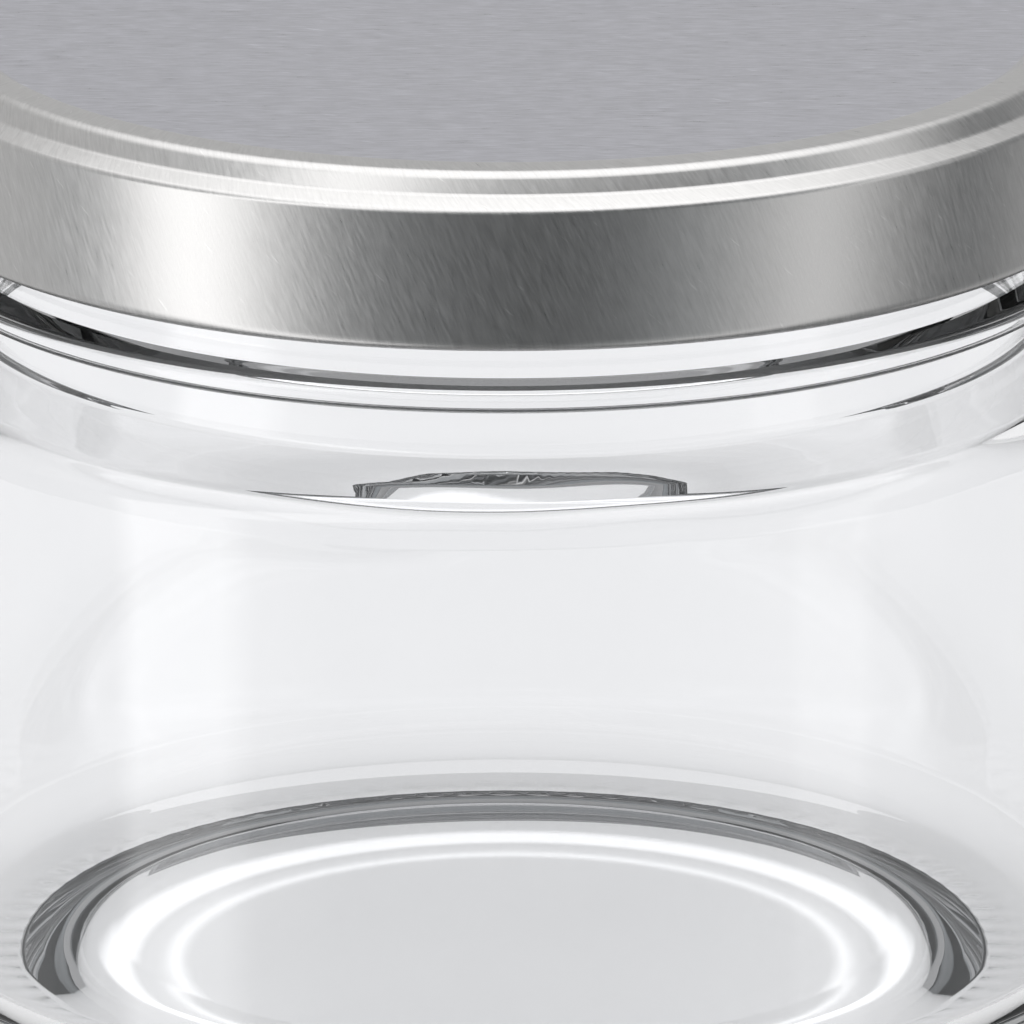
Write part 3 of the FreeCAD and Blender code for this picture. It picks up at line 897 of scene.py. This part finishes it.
def smooth_step(tree, value, start, end, low=0.0, high=1.0):
    """Runs smoothly from low to high while the value goes from start to end."""
    step = add_node(tree, "ShaderNodeMapRange", {
        "Value": value, "From Min": start, "From Max": end, "To Min": low, "To Max": high,
    }, interpolation_type="SMOOTHSTEP")
    return step.outputs["Result"]


def bounced(tree, dimmed):
    """One for rays mirrored at most once on the way, and the given level for the others."""
    path = add_node(tree, "ShaderNodeLightPath").outputs
    mirrored = calculate(tree, "SUBTRACT", path["Ray Depth"], path["Transmission Depth"])
    level = add_node(tree, "ShaderNodeMapRange", {
        "Value": mirrored, "From Min": 1.0, "From Max": 2.0, "To Min": 1.0, "To Max": dimmed,
    })
    return level.outputs["Result"]


def seen_directly(tree):
    """One for rays that show the backdrop: from the camera, off metal and through glass."""
    path = add_node(tree, "ShaderNodeLightPath").outputs
    shown = path["Is Camera Ray"]
    for name in ("Is Glossy Ray", "Is Transmission Ray"):
        shown = calculate(tree, "MAXIMUM", shown, path[name])
    return shown


def stage_object(name, bm):
    """An object of the studio that isn't part of the jar."""
    mesh = bpy.data.meshes.new(name)
    bm.to_mesh(mesh)
    bm.free()
    thing = bpy.data.objects.new(name, mesh)
    bpy.context.scene.collection.objects.link(thing)
    return thing


def stage_material(name):
    """A studio material whose own light isn't aimed at, as it only has to be seen."""
    material, tree = new_material(name)
    material.cycles.emission_sampling = "NONE"
    return material, tree


def make_floor(studio):
    """A round pale floor, which keeps the jar's shadow; under the base it has painted rings of light,
    and to light mirrored more than once in the glass it shows painted shade.
    """
    bm = bmesh.new()
    bmesh.ops.create_circle(bm, cap_ends=True, segments=96, radius=FLOOR_RADIUS)
    floor = stage_object("floor", bm)
    floor.location.z = SOLID_LOW.z - FLOOR_DROP
    floor.visible_glossy = False
    material, tree = stage_material("studio_floor")
    lit = add_node(tree, "ShaderNodeBsdfDiffuse", {"Color": studio.floor_tone})
    reach = add_node(
        tree, "ShaderNodeVectorMath", {0: object_place(tree), 1: GATHERED_SHIFT}, operation="DISTANCE"
    )
    part = calculate(tree, "DIVIDE", reach.outputs["Value"], GATHERED_REACH)
    # Painted light: bright rings and a lifted middle on the floor under the base, as the glass would
    # focus them.
    gathered = ramp_of(tree, part, [
        (radius * MM / GATHERED_REACH, [level / FLOOR_LEVELS] * 3) for radius, level in GATHERED
    ])
    # Painted shade: the floor shows darker to light mirrored more than once in the glass.
    plain = add_node(tree, "ShaderNodeEmission", {
        "Color": gathered,
        "Strength": calculate(tree, "MULTIPLY", bounced(tree, studio.mirrored_floor), FLOOR_LEVELS),
    })
    amount = calculate(tree, "MULTIPLY", seen_directly(tree), studio.floor_whiteness)
    mix = add_node(tree, "ShaderNodeMixShader", {
        "Fac": amount, 1: lit.outputs["BSDF"], 2: plain.outputs["Emission"],
    })
    show(tree, mix.outputs["Shader"])
    floor.data.materials.append(material)
    floor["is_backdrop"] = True


def turn_about(tree, toward, aside):
    """The angle that two parts of a direction make, as a place from 0 to 1 round the full turn."""
    part = add_node(tree, "ShaderNodeMapRange", {
        "Value": calculate(tree, "ARCTAN2", aside, toward), "From Min": -math.pi, "From Max": math.pi,
    })
    return part.outputs["Result"]


def level_ramp(tree, part, stops, top, cool):
    """Light levels by angle; dim stretches take the cool tone of the unlit room."""
    white = Vector((1, 1, 1))
    return ramp_of(tree, part, [
        (degrees / 360 + 0.5, (cool if level < 0.5 else white) * level / top) for degrees, level in stops
    ])


def make_surround(studio):
    """Soft boxes, dark cards and a plain ceiling, as one big shell that only metal and glass see."""
    bm = bmesh.new()
    bmesh.ops.create_uvsphere(bm, u_segments=64, v_segments=32, radius=SHELL_RADIUS)
    shell = stage_object("surround", bm)
    shell.visible_camera = False
    shell.visible_diffuse = False
    shell.visible_shadow = False
    material, tree = stage_material("surround_light")
    top = studio.soft_box
    cool = Vector(studio.cool_tone[:3])
    way = add_node(
        tree, "ShaderNodeVectorMath", {0: object_place(tree)}, operation="NORMALIZE"
    ).outputs["Vector"]
    parts = add_node(tree, "ShaderNodeSeparateXYZ", {"Vector": way}).outputs

    # What metal shows: soft boxes round the jar, which lean in as they rise, under the ceiling.
    raised = calculate(tree, "MAXIMUM", parts["Z"], 0.0)
    turned = add_node(tree, "ShaderNodeVectorRotate", {
        "Vector": way, "Angle": calculate(tree, "MULTIPLY", raised, -studio.light_lean),
    }, rotation_type="Z_AXIS")
    level = add_node(tree, "ShaderNodeSeparateXYZ", {"Vector": turned.outputs["Vector"]}).outputs
    round_jar = turn_about(tree, calculate(tree, "MULTIPLY", level["Y"], -1.0), level["X"])
    on_metal = add_node(tree, "ShaderNodeMix", {
        "Factor": smooth_step(tree, parts["Z"], CEILING_FROM, CEILING_FULL),
        "A": level_ramp(tree, round_jar, SURROUND, top, cool),
        "B": CEILING,
    }, data_type="RGBA")

    # What glass shows: levels over the jar's top, darker where the cards stand at its sides.
    over_jar = turn_about(tree, parts["Y"], parts["Z"])
    aside = calculate(tree, "ABSOLUTE", parts["X"])
    bent = scale_colour(
        tree, level_ramp(tree, over_jar, OVERHEAD, top, cool),
        smooth_step(tree, aside, CARDS_FROM, CARDS_FULL, 1.0, studio.side_cards),
    )
    through_glass = add_node(tree, "ShaderNodeLightPath").outputs["Is Transmission Ray"]
    shown = add_node(tree, "ShaderNodeMix", {
        "Factor": through_glass, "A": on_metal.outputs["Result"], "B": bent,
    }, data_type="RGBA")
    glow = add_node(tree, "ShaderNodeEmission", {"Color": shown.outputs["Result"], "Strength": top})
    show(tree, glow.outputs["Emission"])
    shell.data.materials.append(material)
    shell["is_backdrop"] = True


def make_world():
    """A plain white surround."""
    world = bpy.data.worlds.new("studio_world")
    world.use_nodes = True
    background = world.node_tree.nodes["Background"]
    background.inputs["Color"].default_value = (1, 1, 1, 1)
    background.inputs["Strength"].default_value = 1.0
    bpy.context.scene.world = world


def make_light_paths():
    """Enough bounces for light to find its way through the glass and out again."""
    cycles = bpy.context.scene.cycles
    cycles.max_bounces = GLASS_BOUNCES
    cycles.transmission_bounces = GLASS_BOUNCES
    cycles.glossy_bounces = MIRROR_BOUNCES


def make_studio(studio):
    """Camera, floor, surround and world, shown with plain colours."""
    make_camera(studio)
    make_floor(studio)
    make_surround(studio)
    make_world()
    make_light_paths()
    bpy.context.scene.view_settings.view_transform = "Standard"


class JAR_OT_studio(bpy.types.Operator):
    """Set up the camera, the floor and the lights"""

    bl_idname = "jar.studio"
    bl_label = "Studio"

    def execute(self, context):
        make_studio(context.scene.jar_studio)
        return {"FINISHED"}


# ---------------------------------------------------------------- the add-on


class JAR_PT_panel(bpy.types.Panel):
    """The jar's pieces, in the sidebar of the 3D view"""

    bl_idname = "JAR_PT_panel"
    bl_label = "Jar"
    bl_space_type = "VIEW_3D"
    bl_region_type = "UI"
    bl_category = "Jar"

    def draw(self, context):
        for operator in OPERATORS:
            self.layout.operator(operator.bl_idname)


GROUPS = {
    "jar_glass": GlassSizes,
    "jar_lid": LidSizes,
    "jar_seal": SealSizes,
    "jar_studio": StudioSizes,
}
OPERATORS = (JAR_OT_glass, JAR_OT_lid, JAR_OT_seal, JAR_OT_studio)


def register():
    for group in GROUPS.values():
        bpy.utils.register_class(group)
    for operator in OPERATORS:
        bpy.utils.register_class(operator)
    bpy.utils.register_class(JAR_PT_panel)
    for name, group in GROUPS.items():
        setattr(bpy.types.Scene, name, PointerProperty(type=group))


def unregister():
    for name in GROUPS:
        delattr(bpy.types.Scene, name)
    bpy.utils.unregister_class(JAR_PT_panel)
    for operator in reversed(OPERATORS):
        bpy.utils.unregister_class(operator)
    for group in reversed(GROUPS.values()):
        bpy.utils.unregister_class(group)


def main():
    register()
    bpy.ops.jar.glass()
    bpy.ops.jar.lid()
    bpy.ops.jar.seal()
    bpy.ops.jar.studio()


if __name__ == "__main__":
    main()
